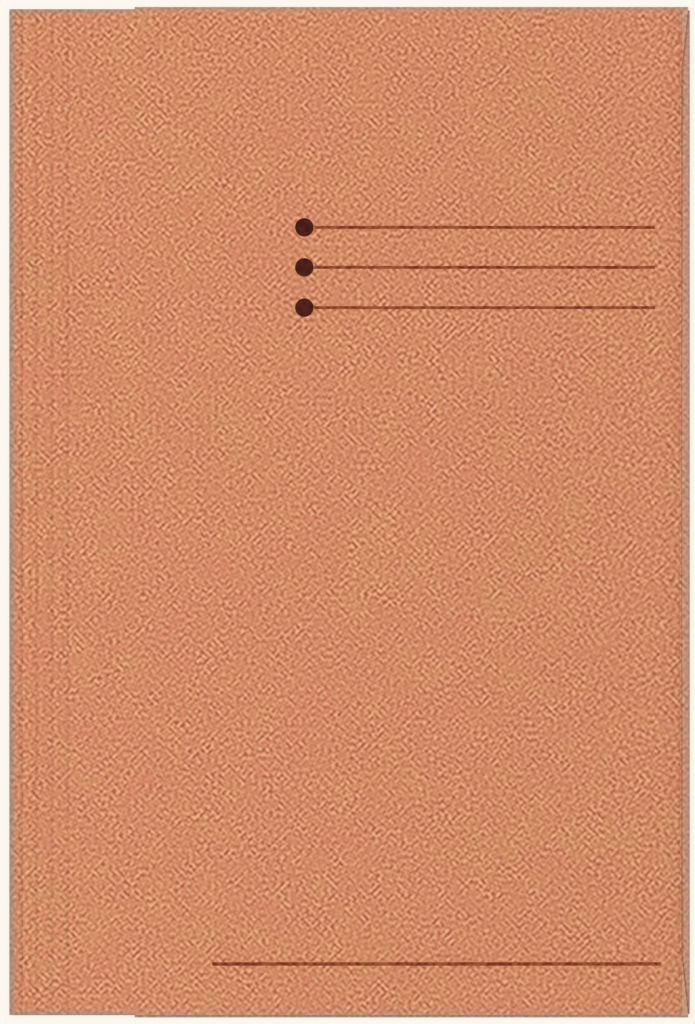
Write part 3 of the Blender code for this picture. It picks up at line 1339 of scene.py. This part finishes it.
@dataclass(frozen=True)
class StudioPaper(Finish):
    """The floor's paper, which takes the folder's shadow and otherwise glows like the backdrop."""

    name: str = "studio_paper"
    paper: str = "F4F1EC"
    backdrop: str = "FDF9F1"
    glow: float = 0.86

    def shade(self, tree: bpy.types.NodeTree) -> bpy.types.Node:
        """Adds the paper's nodes.

        Args:
            tree: The material's empty tree.

        Returns:
            The shader.
        """
        paper = add_node(tree, "BsdfDiffuse", inputs={"Color": linear(self.paper)}).outputs[0]
        light = {"Color": linear(self.backdrop), "Strength": 1.0}
        glow = add_node(tree, "Emission", inputs=light).outputs[0]
        share = add_node(tree, "Math", MULTIPLY, {0: seen_directly(tree), 1: self.glow}).outputs[0]
        return add_node(tree, "MixShader", inputs={0: share, 1: paper, 2: glow})


@dataclass
class Studio:
    """The pale floor, the soft light and the camera straight above the folder."""

    paper: StudioPaper = StudioPaper()
    mm_per_pixel: float = 0.3451
    frame_height: int = 1024
    off_centre: Flat = (-2.06, 0.2)
    lens: float = 200.0
    sensor: float = 36.0
    clip: Flat = (0.05, 50.0)
    floor_size: float = 40.0
    floor_drop: float = 0.1 * MM
    ambient: float = 0.67
    key_energy: float = 88.0
    key_size: float = 1.8
    key_place: tuple[float, float, float] = (-3.0, 0.7, 2.6)

    def build_floor(self) -> None:
        """Lays the floor, pale to the camera but with the folder's shadow on it."""
        half = self.floor_size / 2
        body = bmesh.new()
        corners = ((-half, -half), (half, -half), (half, half), (-half, half))
        body.faces.new([body.verts.new((x, y, -self.floor_drop)) for x, y in corners])
        new_object("studio_floor", body, [self.paper])

    def build_light(self) -> None:
        """Sets the even surrounding light and a soft lamp at the upper left."""
        world = bpy.data.worlds.new("studio")
        bpy.context.scene.world = world
        world.use_nodes = True
        tree = world.node_tree
        tree.nodes.clear()
        room, backdrop = (
            add_node(tree, "Background", inputs={"Color": linear(colour), "Strength": strength}).outputs[0]
            for colour, strength in (("FFFFFF", self.ambient), (self.paper.backdrop, 1.0))
        )
        mixed = add_node(tree, "MixShader", inputs={0: seen_directly(tree), 1: room, 2: backdrop})
        add_node(tree, "OutputWorld", inputs={"Surface": mixed.outputs[0]})

        lamp = bpy.data.lights.new("soft_lamp", "AREA")
        lamp.shape = "SQUARE"
        lamp.size = self.key_size
        lamp.energy = self.key_energy
        key = bpy.data.objects.new("soft_lamp", lamp)
        key.location = self.key_place
        key.rotation_euler = (-Vector(key.location)).to_track_quat("-Z", "Y").to_euler()
        bpy.context.scene.collection.objects.link(key)

    def build_camera(self) -> None:
        """Puts the camera straight above the folder, at the photograph's scale."""
        data = bpy.data.cameras.new("camera")
        data.lens = self.lens
        data.sensor_width = self.sensor
        data.clip_start, data.clip_end = self.clip
        distance = self.frame_height * self.mm_per_pixel * MM * self.lens / self.sensor
        camera = bpy.data.objects.new("camera", data)
        shift_x, shift_y = (pixels * self.mm_per_pixel * MM for pixels in self.off_centre)
        camera.location = (shift_x, shift_y, SIZES.thickness + distance)
        bpy.context.scene.collection.objects.link(camera)
        bpy.context.scene.camera = camera

    def build(self) -> None:
        """Sets up the whole studio."""
        self.build_floor()
        self.build_light()
        self.build_camera()
        bpy.context.scene.view_settings.view_transform = "Standard"


@dataclass
class FileFolder:
    """The whole folder, in the order in which its card lies."""

    back_cockle: Cockle = Cockle(depth=0.06 * MM, phase=0.2)
    front_cockle: Cockle = Cockle(phase=1.1)

    def side_flap(self) -> Flap:
        """The flap at the fore-edge, whose shoulders keep it clear of the end flaps.

        Returns:
            The flap.
        """
        half = SIZES.side_fold_half
        free_half = half - SIZES.side_flap_shoulder_in - SIZES.side_flap_taper
        return Flap(
            name="side_flap",
            lengthways=False,
            sign=1,
            edge=SIZES.fore_edge,
            roll=SIZES.side_roll,
            fold=(-half, half),
            free_side=(-free_half, free_half),
            depth=SIZES.side_flap_depth,
            shoulder=(SIZES.side_flap_shoulder_out, SIZES.side_flap_shoulder_in),
            cockle=Cockle(depth=-0.05 * MM, phase=1.9),
            spring=0.2 * MM,
            spring_between=0.22 * MM,
        )

    def end_flap(self, name: str, sign: int) -> Flap:
        """A flap at one of the two ends.

        Args:
            name: The flap's name.
            sign: 1 at the top end, -1 at the bottom end.

        Returns:
            The flap.
        """
        low, high = SIZES.end_fold_start, SIZES.end_fold_stop
        return Flap(
            name=name,
            lengthways=True,
            sign=sign,
            edge=SIZES.end_edge,
            roll=SIZES.end_roll,
            fold=(low, high),
            free_side=(low + SIZES.end_flap_spine_taper, high - SIZES.end_flap_fore_taper),
            depth=SIZES.end_flap_depth,
            shoulder=None,
            cockle=Cockle(depth=0.05 * MM, phase=2.7 * sign),
        )

    def build(self) -> None:
        """Makes every piece of the folder."""
        back = Cover(Face.BACK, "back", "back_panel", self.back_cockle)
        front = Cover(Face.FRONT, "cover", "front_cover", self.front_cockle)
        for cover in (back, front):
            cover.build()
            SpineStrips(cover.face, cover.body).build()
        SpineFold().build()
        for flap in (self.side_flap(), self.end_flap("top_flap", 1), self.end_flap("bottom_flap", -1)):
            flap.build()
        PrintedRules(front).build()


def main() -> None:
    """Loads the CAD frame, dresses the folder and sets up the studio."""
    logging.basicConfig(level=logging.INFO, format="%(name)s: %(message)s")
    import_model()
    FileFolder().build()
    Studio().build()


if __name__ == "__main__":
    main()
